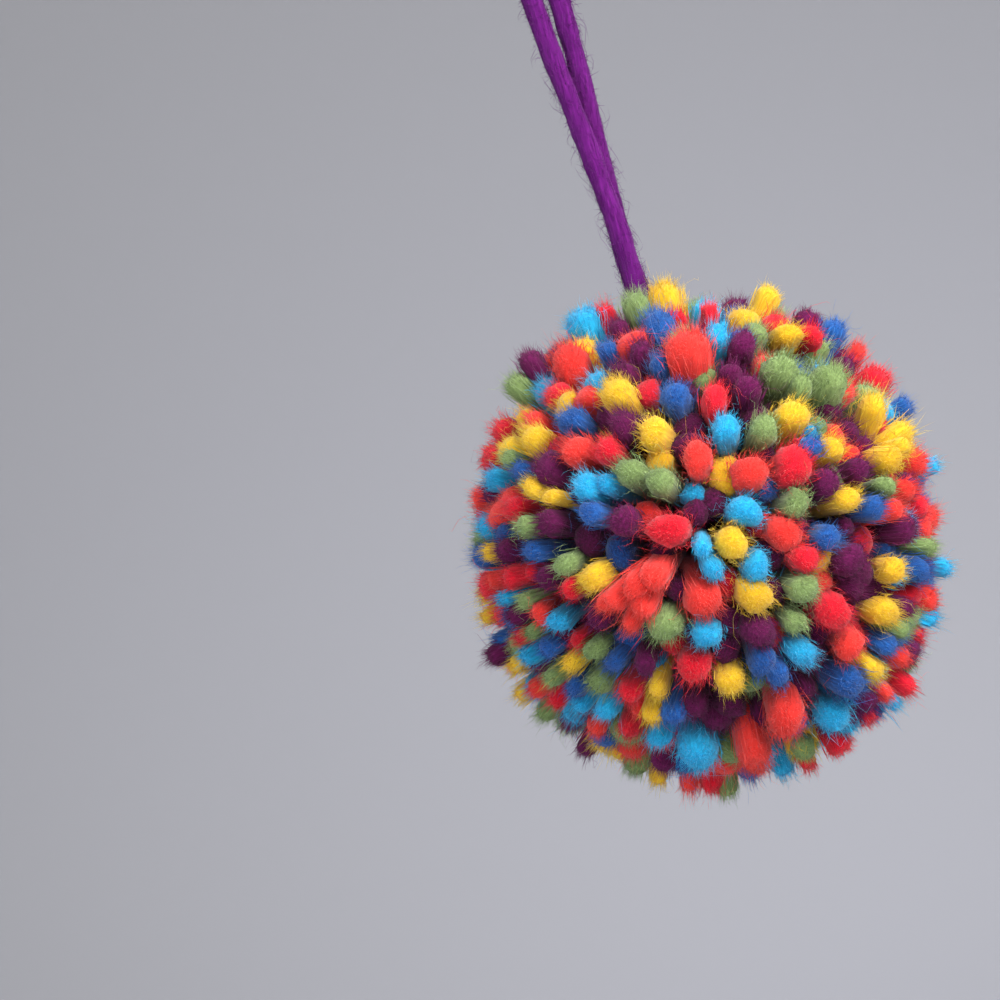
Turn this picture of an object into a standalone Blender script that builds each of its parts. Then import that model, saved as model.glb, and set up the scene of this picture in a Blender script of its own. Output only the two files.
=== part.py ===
"""A yarn pom pom that hangs from the two knotted strands of its tie.

Row frame: metres, +Z up. The origin is on the underside of the hanging knot, between the two
strands, where a hook passes. The ball hangs straight below it, and its viewed side faces -Y.
"""

import math
import random
from collections import namedtuple

import bmesh
import bpy
import numpy as np
from mathutils import Vector, noise

MM = 0.001

# Driving sizes
HALF_WIDTH = 44.0 * MM
HALF_HEIGHT = 46.2 * MM
BALL_MIDDLE = Vector((-1.0, 0.0, -109.8)) * MM
CORE_SHARE = 0.62
STRAND_DIAMETER = 4.0 * MM

# The ball's locks stand one to a cell. A sphere of spread points has a cell over each edge
# between two of them, which is three cells to a point.
SPREAD_POINTS = 102
SPREAD_ROUNDS = 60
SPREAD_PUSH = 0.004
SEED = 23

# The trimming left lumps and hollows around the outline. turn is measured in the XZ plane from
# +Z towards +X, and rise is what the lump adds to the ball's radius.
Lump = namedtuple("Lump", "turn_deg rise_mm spread_deg")
OUTLINE_LUMPS = (
    Lump(turn_deg=47.0, rise_mm=1.8, spread_deg=11.0),
    Lump(turn_deg=64.0, rise_mm=-1.0, spread_deg=12.0),
    Lump(turn_deg=104.0, rise_mm=-1.2, spread_deg=14.0),
    Lump(turn_deg=148.0, rise_mm=2.2, spread_deg=10.0),
    Lump(turn_deg=198.0, rise_mm=0.9, spread_deg=12.0),
    Lump(turn_deg=249.0, rise_mm=1.4, spread_deg=11.0),
    Lump(turn_deg=352.0, rise_mm=0.9, spread_deg=16.0),
)

# The rest of the surface is a little uneven too, and neighbouring locks lean the same way
UNEVEN_DEPTH = 0.9 * MM
UNEVEN_SCALE = 1.9
CUT_LONG = 0.018
CUT_SHORT = 0.030
CLUMP_LEAN = 2.2 * MM
CLUMP_SCALE = 1.5
CLUMP_OFFSETS = (Vector((5.3, 0.0, 0.0)), Vector((0.0, 9.1, 0.0)), Vector((0.0, 0.0, 2.7)))
OWN_LEAN = 0.25 * MM

# The strands come up between the locks in this cone about +Z, and the locks beside it close in
WAY_HALF_ANGLE = math.radians(14.5)
WAY_RIM_ANGLE = math.radians(30.0)
WAY_RIM_LEAN = 2.2 * MM

# Rings of one lock, from its root on the core to its cut end. reach is the share of the way from
# the core to the trimmed surface, and fill the share of the lock's own cell that it takes up.
Ring = namedtuple("Ring", "reach fill")
LOCK_RINGS = (
    Ring(reach=0.00, fill=0.66),
    Ring(reach=0.84, fill=0.82),
    Ring(reach=1.00, fill=0.50),
)

# Colours of the yarns, and how often each one was wound in
Yarn = namedtuple("Yarn", "name colour share")
YARNS = (
    Yarn("cherry_red", (0.70, 0.010, 0.030), 0.17),
    Yarn("coral", (0.78, 0.070, 0.045), 0.15),
    Yarn("yellow", (0.86, 0.58, 0.030), 0.15),
    Yarn("leaf_green", (0.20, 0.31, 0.095), 0.13),
    Yarn("turquoise", (0.020, 0.39, 0.68), 0.12),
    Yarn("blue", (0.020, 0.11, 0.45), 0.12),
    Yarn("aubergine", (0.085, 0.010, 0.070), 0.16),
)
PURPLE = (0.22, 0.018, 0.26)
YARN_ROUGHNESS = 0.92

# Route of the two strands, in millimetres. They start just under the knot, side by side, and a
# quarter turn lower down the left one is in front of the right one. Both end on the core.
StrandPoint = namedtuple("StrandPoint", "z left_x left_y right_x right_y")
STRAND_ROUTE = (
    StrandPoint(-0.4, -2.50, 0.00, 2.50, 0.00),
    StrandPoint(-5.0, -2.38, -0.13, 2.44, 0.13),
    StrandPoint(-10.0, -2.17, -0.40, 2.35, 0.40),
    StrandPoint(-16.0, -1.91, -0.92, 2.19, 0.92),
    StrandPoint(-22.0, -1.51, -1.41, 1.87, 1.41),
    StrandPoint(-28.0, -1.08, -1.76, 1.54, 1.76),
    StrandPoint(-34.0, -0.66, -2.01, 1.18, 2.01),
    StrandPoint(-40.0, -0.29, -2.15, 0.85, 2.15),
    StrandPoint(-46.0, 0.03, -2.21, 0.49, 2.21),
    StrandPoint(-52.0, 0.22, -2.22, 0.22, 2.22),
    StrandPoint(-58.0, 0.24, -2.21, 0.14, 2.21),
    StrandPoint(-64.0, 0.20, -2.20, 0.08, 2.20),
    StrandPoint(-70.0, 0.11, -2.20, 0.04, 2.20),
    StrandPoint(-75.0, 0.04, -2.20, 0.01, 2.20),
    StrandPoint(-80.7, 0.00, -2.20, 0.00, 2.20),
)
STRAND_POINTS = 12
STRAND_BEVEL_RESOLUTION = 2

# Hanging knot: a rounded lump with a flat underside, the turn that wraps it, and the route of
# its right tail, in millimetres, which fluffs out towards its cut end
KNOT_HALF = Vector((5.6, 4.8, 4.7)) * MM
KNOT_FLAT_SHARE = 0.75
KNOT_WRAP_RADIUS = 4.1 * MM
KNOT_WRAP_TILT = math.radians(18.0)
TailPoint = namedtuple("TailPoint", "x y z bloom")
TAIL_ROUTE = (
    TailPoint(1.8, 0.0, 5.4, 1.00),
    TailPoint(2.2, -0.2, 8.6, 1.00),
    TailPoint(3.3, -0.5, 11.6, 1.12),
    TailPoint(5.2, -0.9, 14.0, 1.35),
)

LOCK_EDGE_ANGLE = math.radians(50.0)
UP = Vector((0.0, 0.0, 1.0))


def clear_scene():
    """Removes every object that the file opens with."""
    for obj in list(bpy.data.objects):
        bpy.data.objects.remove(obj)


def yarn_material(name, colour):
    """A matt wool-like material."""
    material = bpy.data.materials.new(name)
    material.use_nodes = True
    material.diffuse_color = (*colour, 1.0)
    shader = material.node_tree.nodes["Principled BSDF"]
    shader.inputs["Base Color"].default_value = (*colour, 1.0)
    shader.inputs["Roughness"].default_value = YARN_ROUGHNESS
    shader.inputs["Metallic"].default_value = 0.0
    return material


def add_object(name, data, material=None):
    """Links a new object, and gives it its material."""
    obj = bpy.data.objects.new(name, data)
    bpy.context.scene.collection.objects.link(obj)
    if material is not None:
        obj.data.materials.append(material)
    return obj


def join_into(obj, guide):
    """Unites a guide with an object, and keeps the guide itself out of the model."""
    guide.hide_render = True
    guide.display_type = "WIRE"
    union = obj.modifiers.new("join", "BOOLEAN")
    union.operation = "UNION"
    union.object = guide


def round_radius(direction):
    """Distance from the ball's middle to its even form along a unit direction."""
    across = (direction.x**2 + direction.y**2) / HALF_WIDTH**2
    along = direction.z**2 / HALF_HEIGHT**2
    return 1.0 / math.sqrt(across + along)


def core_radius(direction):
    """Distance from the ball's middle to its packed core, where the locks are rooted."""
    return CORE_SHARE * round_radius(direction)


def ball_radius(direction):
    """Distance from the ball's middle to its trimmed surface, with its lumps and hollows."""
    radius = round_radius(direction) + UNEVEN_DEPTH * noise.noise(direction * UNEVEN_SCALE)
    for lump in OUTLINE_LUMPS:
        turn = math.radians(lump.turn_deg)
        aside = math.degrees(direction.angle(Vector((math.sin(turn), 0.0, math.cos(turn)))))
        radius += lump.rise_mm * MM * math.exp(-((aside / lump.spread_deg) ** 2))
    return radius


def tangent_part(vector, direction):
    """What of a vector lies across a unit direction."""
    return vector - direction * vector.dot(direction)


def spread_directions(draw):
    """Directions spread over a sphere in no rows, each one pushed away by the others."""
    points = np.array([[draw.gauss(0.0, 1.0) for _ in range(3)] for _ in range(SPREAD_POINTS)])
    for _ in range(SPREAD_ROUNDS):
        points /= np.linalg.norm(points, axis=1, keepdims=True)
        apart = points[:, None] - points[None]
        distance = np.linalg.norm(apart, axis=2) + np.eye(SPREAD_POINTS)
        points += SPREAD_PUSH * (apart / distance[..., None] ** 3).sum(axis=1)
    return [Vector(point).normalized() for point in points]


def cell_sphere(draw):
    """A unit sphere of four-sided cells, one for each lock, uneven as wound yarn is."""
    hull = bmesh.new()
    for direction in spread_directions(draw):
        hull.verts.new(direction)
    bmesh.ops.convex_hull(hull, input=hull.verts[:])
    cells = bmesh.new()
    corners = {vert: cells.verts.new(vert.co) for vert in hull.verts}
    middles = {face: cells.verts.new(face.calc_center_median().normalized()) for face in hull.faces}
    for edge in hull.edges:
        start, end = (corners[vert] for vert in edge.verts)
        left, right = (middles[face] for face in edge.link_faces)
        cells.faces.new((start, left, end, right))
    hull.free()
    bmesh.ops.recalc_face_normals(cells, faces=cells.faces[:])
    return cells


def lean_of(direction, draw):
    """How far a lock's cut end stands aside from a straight line out of the middle."""
    sway = [noise.noise(direction * CLUMP_SCALE + offset) for offset in CLUMP_OFFSETS]
    clump = Vector(sway) * CLUMP_LEAN
    own = Vector([draw.uniform(-1.0, 1.0) for _ in range(3)]) * OWN_LEAN
    lean = tangent_part(clump + own, direction)
    from_top = direction.angle(UP)
    if from_top < WAY_RIM_ANGLE:
        inward = tangent_part(UP, direction).normalized()
        closing = (WAY_RIM_ANGLE - from_top) / (WAY_RIM_ANGLE - WAY_HALF_ANGLE)
        lean = lean * (1.0 - closing) + inward * WAY_RIM_LEAN * closing
    return lean


def raise_lock(bm, face, draw, material_index):
    """Grows one lock from its cell: a root on the core, a swollen body and a blunt cut end."""
    middle = face.calc_center_median().normalized()
    corners = [vert.co.normalized() for vert in face.verts]
    inner = core_radius(middle)
    outer = ball_radius(middle) * (1.0 + draw.uniform(-CUT_SHORT, CUT_LONG))
    lean = lean_of(middle, draw)
    for ring in LOCK_RINGS:
        face = bmesh.ops.extrude_discrete_faces(bm, faces=[face])["faces"][0]
        distance = inner + (outer - inner) * ring.reach
        for vert, corner in zip(face.verts, corners):
            beside = (corner - middle) * ring.fill
            vert.co = (middle + beside) * distance + lean * ring.reach**2
        for edge in face.edges:
            for side in edge.link_faces:
                side.material_index = material_index


def build_ball(materials):
    """The pom pom: one solid, whose locks stand apart and are fused only into their core."""
    draw = random.Random(SEED)
    bm = cell_sphere(draw)
    cells = [face for face in bm.faces if face.calc_center_median().angle(UP) > WAY_HALF_ANGLE]
    cells.sort(key=lambda face: tuple(face.calc_center_median()))
    for vert in bm.verts:
        vert.co *= core_radius(vert.co)
    winding = draw.choices(range(len(YARNS)), weights=[yarn.share for yarn in YARNS], k=len(cells))
    for face, material_index in zip(cells, winding):
        raise_lock(bm, face, draw, material_index)
    bmesh.ops.recalc_face_normals(bm, faces=bm.faces[:])
    bmesh.ops.triangulate(bm, faces=bm.faces[:])
    mesh = bpy.data.meshes.new("pom_pom")
    bm.to_mesh(mesh)
    bm.free()
    mesh.shade_smooth()
    mesh.set_sharp_from_angle(angle=LOCK_EDGE_ANGLE)
    ball = add_object("pom_pom", mesh)
    for material in materials:
        ball.data.materials.append(material)
    ball.location = BALL_MIDDLE
    return ball


def point_on_route(points, share):
    """The place a share of the way along a Catmull-Rom curve through a route's own points."""
    padded = [points[0] * 2 - points[1], *points, points[-1] * 2 - points[-2]]
    span = min(int(share * (len(points) - 1)), len(points) - 2)
    t = share * (len(points) - 1) - span
    before, start, end, after = padded[span : span + 4]
    bend = 2 * before - 5 * start + 4 * end - after
    swing = 3 * start - before - 3 * end + after
    return 0.5 * (2 * start + (end - before) * t + bend * t**2 + swing * t**3)


def yarn_curve(name, route, blooms=None):
    """A round strand of yarn with closed ends along a route, thicker where it blooms."""
    data = bpy.data.curves.new(name, "CURVE")
    data.dimensions = "3D"
    data.bevel_depth = STRAND_DIAMETER / 2
    data.bevel_resolution = STRAND_BEVEL_RESOLUTION
    data.use_fill_caps = True
    spline = data.splines.new("POLY")
    spline.points.add(len(route) - 1)
    for i, place in enumerate(route):
        spline.points[i].co = (*place, 1.0)
        spline.points[i].radius = blooms[i] if blooms else 1.0
    return data


def build_strand(name, side, material):
    """One of the two strands that the ball hangs from."""
    across, depth = side + "_x", side + "_y"
    own = [Vector((getattr(p, across), getattr(p, depth), p.z)) * MM for p in STRAND_ROUTE]
    route = [point_on_route(own, i / (STRAND_POINTS - 1)) for i in range(STRAND_POINTS)]
    return add_object(name, yarn_curve(name, route), material)


def knot_lump():
    """The rounded body of the knot, flat underneath where the strands come out."""
    bm = bmesh.new()
    bmesh.ops.create_uvsphere(bm, u_segments=14, v_segments=8, radius=1.0)
    for vert in bm.verts:
        height = max(vert.co.z, -KNOT_FLAT_SHARE) + KNOT_FLAT_SHARE
        vert.co = Vector((vert.co.x * KNOT_HALF.x, vert.co.y * KNOT_HALF.y, height * KNOT_HALF.z))
    mesh = bpy.data.meshes.new("hanger_knot")
    bm.to_mesh(mesh)
    bm.free()
    mesh.shade_smooth()
    return mesh


def build_tail(side):
    """One of the two short cut tails above the knot, the left one where side is -1."""
    route = [Vector((point.x * side, point.y * side, point.z)) * MM for point in TAIL_ROUTE]
    tail = yarn_curve("tail", route, [point.bloom for point in TAIL_ROUTE])
    curve = add_object("tail_curve", tail)
    bpy.context.view_layer.update()
    mesh = bpy.data.meshes.new_from_object(curve.evaluated_get(bpy.context.evaluated_depsgraph_get()))
    bpy.data.objects.remove(curve)
    return add_object("tail", mesh)


def build_knot(material):
    """The overhand knot of both strands, with the two short cut tails above it."""
    knot = add_object("hanger_knot", knot_lump(), material)
    bpy.ops.mesh.primitive_torus_add(
        major_segments=16,
        minor_segments=8,
        major_radius=KNOT_WRAP_RADIUS,
        minor_radius=STRAND_DIAMETER / 2,
        location=(0.0, 0.0, KNOT_FLAT_SHARE * KNOT_HALF.z),
        rotation=(0.0, KNOT_WRAP_TILT, 0.0),
    )
    join_into(knot, bpy.context.object)
    for side in (-1.0, 1.0):
        join_into(knot, build_tail(side))
    return knot


def main():
    """Builds the ball, the two strands and their knot."""
    clear_scene()
    yarn_materials = [yarn_material(yarn.name, yarn.colour) for yarn in YARNS]
    purple = yarn_material("purple", PURPLE)
    build_ball(yarn_materials)
    build_strand("strand_left", "left", purple)
    build_strand("strand_right", "right", purple)
    build_knot(purple)


main()
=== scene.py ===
"""Dresses a yarn pom pom, which hangs on the two knotted strands of its tie.

The ball is some 550 cut yarn ends in seven colours. Each end is a soft tuft with its own fibres, and
the ends of one colour are one piece. The two strands and their knot are spun of the same wool.
Everything is in metres in the row frame: +Z up, the viewed side to -Y.
"""

import logging
import math
from collections.abc import Callable, Iterable, Sequence
from dataclasses import dataclass, field
from enum import Enum
from typing import NamedTuple

import bpy
import numpy as np
from mathutils import Matrix, Vector, noise


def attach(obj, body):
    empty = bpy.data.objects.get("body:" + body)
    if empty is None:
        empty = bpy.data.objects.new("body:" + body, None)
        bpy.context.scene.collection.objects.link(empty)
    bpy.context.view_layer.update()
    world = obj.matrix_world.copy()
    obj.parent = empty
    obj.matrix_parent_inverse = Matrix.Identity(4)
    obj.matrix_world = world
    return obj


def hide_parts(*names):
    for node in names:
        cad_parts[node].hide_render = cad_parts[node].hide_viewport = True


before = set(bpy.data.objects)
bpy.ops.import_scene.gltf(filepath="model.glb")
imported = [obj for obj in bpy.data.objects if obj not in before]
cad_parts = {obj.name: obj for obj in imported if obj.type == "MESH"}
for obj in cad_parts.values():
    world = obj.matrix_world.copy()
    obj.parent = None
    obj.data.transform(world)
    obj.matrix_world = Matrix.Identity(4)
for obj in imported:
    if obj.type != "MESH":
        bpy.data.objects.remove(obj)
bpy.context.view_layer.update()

MM = 0.001
SEED = 7
CORE_SHARE = 0.56
SLANT = np.array([0.3137, 0.5403, 0.7808])
FIBRE_GRAIN = 2400.0
FIBRE_RUN = 260.0
log = logging.getLogger("pom_pom")

Colour = tuple[float, float, float]


def display_colour(red: int, green: int, blue: int) -> Colour:
    """Turns a colour as seen on a display into the light that it stands for.

    Args:
        red: Red from 0 to 255, as green and blue.
        green: Green.
        blue: Blue.

    Returns:
        The linear colour.
    """
    shares = (red / 255.0, green / 255.0, blue / 255.0)
    return tuple(c / 12.92 if c <= 0.04045 else ((c + 0.055) / 1.055) ** 2.4 for c in shares)


class Signal:
    """A shader socket that takes part in Python expressions as a number does."""

    def __init__(self, graph: "ShaderGraph", socket: bpy.types.NodeSocket) -> None:
        """Wraps an output socket of a graph's node."""
        self.graph = graph
        self.socket = socket

    def maths(self, operation: str, other: "Signal | float", swapped: bool = False) -> "Signal":
        """Adds the Math node for one operator.

        Args:
            operation: The Math node's operation.
            other: The operator's other side.
            swapped: Whether the other side comes first.

        Returns:
            The result as a signal.
        """
        sides = (other, self) if swapped else (self, other)
        return self.graph.node("ShaderNodeMath", {"operation": operation}, {0: sides[0], 1: sides[1]})

    def __add__(self, other: "Signal | float") -> "Signal":
        """self + other."""
        return self.maths("ADD", other)

    def __sub__(self, other: "Signal | float") -> "Signal":
        """self - other."""
        return self.maths("SUBTRACT", other)

    def __rsub__(self, other: "Signal | float") -> "Signal":
        """other - self."""
        return self.maths("SUBTRACT", other, swapped=True)

    def __mul__(self, other: "Signal | float") -> "Signal":
        """self * other."""
        return self.maths("MULTIPLY", other)

    def __truediv__(self, other: "Signal | float") -> "Signal":
        """self / other."""
        return self.maths("DIVIDE", other)

    __radd__ = __add__
    __rmul__ = __mul__

    def clamped(self) -> "Signal":
        """Keeps the signal from 0 to 1."""
        return self.graph.node("ShaderNodeClamp", {}, {"Value": self, "Min": 0.0, "Max": 1.0})


class ShaderGraph:
    """The node tree of one new material."""

    def __init__(self, name: str) -> None:
        """Makes the material with its Principled shader."""
        self.material = bpy.data.materials.new(name)
        self.material.use_nodes = True
        self.tree = self.material.node_tree
        self.shader = self.tree.nodes["Principled BSDF"]

    def feed(self, socket: bpy.types.NodeSocket, value: "Signal | float | Sequence[float]") -> None:
        """Links a signal to an input socket, or sets the socket to a value."""
        if isinstance(value, Signal):
            self.tree.links.new(value.socket, socket)
        elif isinstance(socket.default_value, float):
            socket.default_value = value
        else:
            width = len(socket.default_value)
            socket.default_value = (*value, 1.0)[:width]

    def node(self, kind: str, settings: dict, inputs: dict, output: "int | str" = 0) -> Signal:
        """Adds a node.

        Args:
            kind: The node's type.
            settings: Its own settings, which are set first.
            inputs: Values or signals for its sockets, by name or number.
            output: The output that is wanted, by name or number.

        Returns:
            That output as a signal.
        """
        made = self.tree.nodes.new(kind)
        for name, value in settings.items():
            setattr(made, name, value)
        for key, value in inputs.items():
            self.feed(made.inputs[key], value)
        return Signal(self, made.outputs[output])

    def attribute(self, name: str, output: str = "Fac") -> Signal:
        """Reads one of the mesh's own attributes."""
        return self.node("ShaderNodeAttribute", {"attribute_name": name}, {}, output)

    def blend(self, factor: "Signal | float", low: "Signal | Colour", high: "Signal | Colour") -> Signal:
        """Mixes two colours.

        Args:
            factor: 0 for the first, 1 for the second.
            low: The first colour.
            high: The second colour.

        Returns:
            The mixed colour.
        """
        return self.node("ShaderNodeMix", {"data_type": "RGBA"}, {0: factor, 6: low, 7: high}, 2)

    def surface(self, **values: "Signal | float | Sequence[float]") -> None:
        """Feeds the Principled shader's sockets, whose names have _ in place of each space."""
        for name, value in values.items():
            self.feed(self.shader.inputs[name.replace("_", " ")], value)


@dataclass(frozen=True)
class WoolFinish:
    """Dyed wool with painted light: painted shade darkens it near the root and between the fibres, and a painted
    highlight, together with its own paler fibres, makes its loose ends and tops paler.

    Attributes:
        slot: The name of a material slot for the yarn; not used.
        deep: The yarn's colour in painted shade, between the fibres and lower down a cut end.
        main: Colour of the body.
        pale: Colour of the palest fibres, and of the painted highlight on the highest tops and hair points.
        share: How often the yarn was wound in.
        root_shade: How much of the deep colour is left at the root.
        softness: How much of the light spreads from fibre to fibre.
        glow_reach: How far it spreads.
        streak_depth: How far the fibres stand out.
    """

    slot: str
    deep: Colour
    main: Colour
    pale: Colour
    share: float = 0.0
    root_shade: float = 0.22
    roughness: float = 0.95
    sheen: float = 0.18
    softness: float = 0.60
    glow_reach: float = 0.7 * MM
    streak_depth: float = 0.16 * MM

    def material(self, name: str) -> bpy.types.Material:
        """Makes the yarn's material.

        Args:
            name: The material's name.

        Returns:
            The material.
        """
        graph = ShaderGraph(name)
        along = graph.attribute("along")
        fleck = graph.attribute("fleck")
        lay = graph.attribute("lay", "Vector")
        streaks = graph.node(
            "ShaderNodeTexNoise",
            {"noise_dimensions": "3D"},
            {"Vector": lay, "Scale": 1.0, "Detail": 3.0, "Roughness": 0.6},
        )
        # Painted shade: the lower a point lies under the ball's surface (along), the more it is painted in the root
        # and deep colours. The pale colour is a painted highlight where a point lies high and its fibre is pale;
        # fleck and streaks add each fibre's own tone.
        root = tuple(part * self.root_shade for part in self.deep)
        height = ((along - 0.40) / 0.45).clamped()
        tone = height * 0.84 + fleck * 0.34 + (streaks - 0.5) * 1.9
        colour = graph.blend(((along - 0.14) / 0.34).clamped(), root, self.deep)
        colour = graph.blend(tone.clamped(), colour, self.main)
        colour = graph.blend(((tone - 0.90) * 1.1).clamped(), colour, self.pale)
        relief = graph.node(
            "ShaderNodeBump",
            {},
            {"Height": streaks, "Strength": 0.8, "Distance": self.streak_depth},
        )
        graph.shader.subsurface_method = "BURLEY"
        graph.surface(
            Base_Color=colour,
            Normal=relief,
            Roughness=self.roughness,
            Subsurface_Weight=self.softness,
            Subsurface_Radius=(1.0, 1.0, 1.0),
            Subsurface_Scale=self.glow_reach,
            Sheen_Weight=self.sheen,
            Sheen_Roughness=0.6,
            Specular_IOR_Level=0.15,
        )
        return graph.material


class Yarn(Enum):
    """The yarns that the pom pom is made of."""

    # Each yarn's deep colour is its colour in painted shade, and its pale colour is partly a painted highlight.
    RED = WoolFinish(
        slot="red_yarn",
        deep=display_colour(146, 2, 26),
        main=display_colour(224, 10, 40),
        pale=display_colour(244, 56, 74),
        share=0.16,
    )
    CORAL = WoolFinish(
        slot="coral_yarn",
        deep=display_colour(184, 30, 24),
        main=display_colour(228, 54, 46),
        pale=display_colour(246, 104, 84),
        share=0.17,
    )
    YELLOW = WoolFinish(
        slot="yellow_yarn",
        deep=display_colour(194, 144, 16),
        main=display_colour(222, 186, 36),
        pale=display_colour(242, 220, 100),
        share=0.15,
    )
    GREEN = WoolFinish(
        slot="green_yarn",
        deep=display_colour(74, 92, 48),
        main=display_colour(134, 158, 96),
        pale=display_colour(182, 204, 144),
        share=0.14,
    )
    TURQUOISE = WoolFinish(
        slot="turquoise_yarn",
        deep=display_colour(10, 106, 146),
        main=display_colour(28, 172, 220),
        pale=display_colour(108, 216, 246),
        share=0.12,
    )
    BLUE = WoolFinish(
        slot="blue_yarn",
        deep=display_colour(10, 42, 94),
        main=display_colour(22, 92, 170),
        pale=display_colour(78, 142, 208),
        share=0.12,
    )
    AUBERGINE = WoolFinish(
        slot="aubergine_yarn",
        deep=display_colour(56, 8, 38),
        main=display_colour(106, 20, 80),
        pale=display_colour(144, 56, 120),
        share=0.14,
        root_shade=0.40,
        sheen=0.06,
    )
    PURPLE = WoolFinish(
        slot="purple_yarn",
        deep=display_colour(66, 6, 76),
        main=display_colour(92, 12, 104),
        pale=display_colour(120, 36, 132),
        sheen=0.05,
        softness=0.25,
    )


BALL_YARNS = tuple(yarn for yarn in Yarn if yarn.value.share > 0.0)


class Lump(NamedTuple):
    """A rise or hollow of the ball's outline, turned from +Z towards +X in the XZ plane."""

    turn_deg: float
    rise_mm: float
    spread_deg: float


@dataclass(frozen=True)
class BallForm:
    """The trimmed form of the ball, which the solid in the frame has too."""

    middle: Vector = Vector((-1.0, 0.0, -109.8)) * MM
    half_width: float = 44.0 * MM
    half_height: float = 46.2 * MM
    uneven_depth: float = 0.9 * MM
    uneven_scale: float = 1.9
    lumps: tuple[Lump, ...] = (
        Lump(turn_deg=47.0, rise_mm=1.8, spread_deg=11.0),
        Lump(turn_deg=64.0, rise_mm=-1.0, spread_deg=12.0),
        Lump(turn_deg=104.0, rise_mm=-1.2, spread_deg=14.0),
        Lump(turn_deg=148.0, rise_mm=2.2, spread_deg=10.0),
        Lump(turn_deg=198.0, rise_mm=0.9, spread_deg=12.0),
        Lump(turn_deg=249.0, rise_mm=1.4, spread_deg=11.0),
        Lump(turn_deg=352.0, rise_mm=0.9, spread_deg=16.0),
    )

    def round_radius(self, direction: Vector) -> float:
        """Distance from the middle to the even form along a unit direction."""
        across = (direction.x**2 + direction.y**2) / self.half_width**2
        return 1.0 / math.sqrt(across + direction.z**2 / self.half_height**2)

    def radius(self, direction: Vector) -> float:
        """Distance from the middle to the trimmed surface.

        Args:
            direction: A unit direction.

        Returns:
            The distance, lumps and hollows included.
        """
        radius = self.round_radius(direction)
        radius += self.uneven_depth * noise.noise(direction * self.uneven_scale)
        for lump in self.lumps:
            turn = math.radians(lump.turn_deg)
            aside = math.degrees(direction.angle(Vector((math.sin(turn), 0.0, math.cos(turn)))))
            radius += lump.rise_mm * MM * math.exp(-((aside / lump.spread_deg) ** 2))
        return radius


@dataclass(frozen=True)
class PhotoView:
    """The photograph's view of the ball: a level camera, rolled by the slant of the tie.

    Attributes:
        pixels: The frame's side.
        scale: Metres to a pixel at the ball's middle.
        middle_px: The ball's middle in the frame.
        roll: How far the tie slants from the upright there.
        distance: From the camera to the plane through the ball's middle.
        sensor: The camera's sensor width in millimetres.
    """

    pixels: int = 1000
    scale: float = 0.1867 * MM
    middle_px: tuple[float, float] = (708.0, 540.0)
    roll: float = math.radians(17.3)
    distance: float = 0.60
    sensor: float = 36.0

    @property
    def right(self) -> Vector:
        """The frame's rightward direction."""
        return Vector((math.cos(self.roll), 0.0, -math.sin(self.roll)))

    @property
    def up(self) -> Vector:
        """The frame's upward direction."""
        return Vector((math.sin(self.roll), 0.0, math.cos(self.roll)))

    @property
    def eye(self) -> Vector:
        """Where the camera stands, square to the middle of the frame."""
        aside = self.pixels / 2 - self.middle_px[0]
        below = self.pixels / 2 - self.middle_px[1]
        aim = BALL.middle + (self.right * aside - self.up * below) * self.scale
        return aim - Vector((0.0, self.distance, 0.0))

    def sight(self, x_px: float, y_px: float) -> Vector:
        """The direction from the camera through a point of the frame."""
        across = self.right * (x_px - self.pixels / 2) - self.up * (y_px - self.pixels / 2)
        return (across * self.scale + Vector((0.0, self.distance, 0.0))).normalized()

    def near_point(self, x_px: float, y_px: float, radius: float) -> Vector:
        """Where a point of the frame shows on the near side of a ball about the pom pom's middle.

        Args:
            x_px: Its place from the frame's left.
            y_px: Its place from the frame's top.
            radius: That ball's radius. A point outside it is put abreast of the middle.

        Returns:
            The point, from the ball's middle.
        """
        ray = self.sight(x_px, y_px)
        start = self.eye - BALL.middle
        abreast = -start.dot(ray)
        inside = radius**2 - (start + ray * abreast).length_squared
        return start + ray * (abreast - math.sqrt(max(inside, 0.0)))

    def build(self) -> bpy.types.Object:
        """Makes the camera.

        Returns:
            The camera object, which is the scene's camera from then on.
        """
        data = bpy.data.cameras.new("photo_camera")
        data.sensor_width = self.sensor
        data.lens = self.sensor * self.distance / (self.pixels * self.scale)
        data.clip_start = 0.01
        camera = bpy.data.objects.new("photo_camera", data)
        bpy.context.scene.collection.objects.link(camera)
        away = -Vector((0.0, 1.0, 0.0))
        camera.matrix_world = Matrix.Translation(self.eye) @ Matrix(
            (self.right, self.up, away)
        ).transposed().to_4x4()
        bpy.context.scene.camera = camera
        return camera


BALL = BallForm()
VIEW = PhotoView()


def smooth_step(low: float, high: float, value: np.ndarray) -> np.ndarray:
    """Rises smoothly from 0 at low to 1 at high."""
    share = np.clip((value - low) / (high - low), 0.0, 1.0)
    return share * share * (3.0 - 2.0 * share)


def unit_rows(vectors: np.ndarray) -> np.ndarray:
    """Scales each row's last axis to length 1."""
    return vectors / np.maximum(np.linalg.norm(vectors, axis=-1, keepdims=True), 1e-12)


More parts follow.
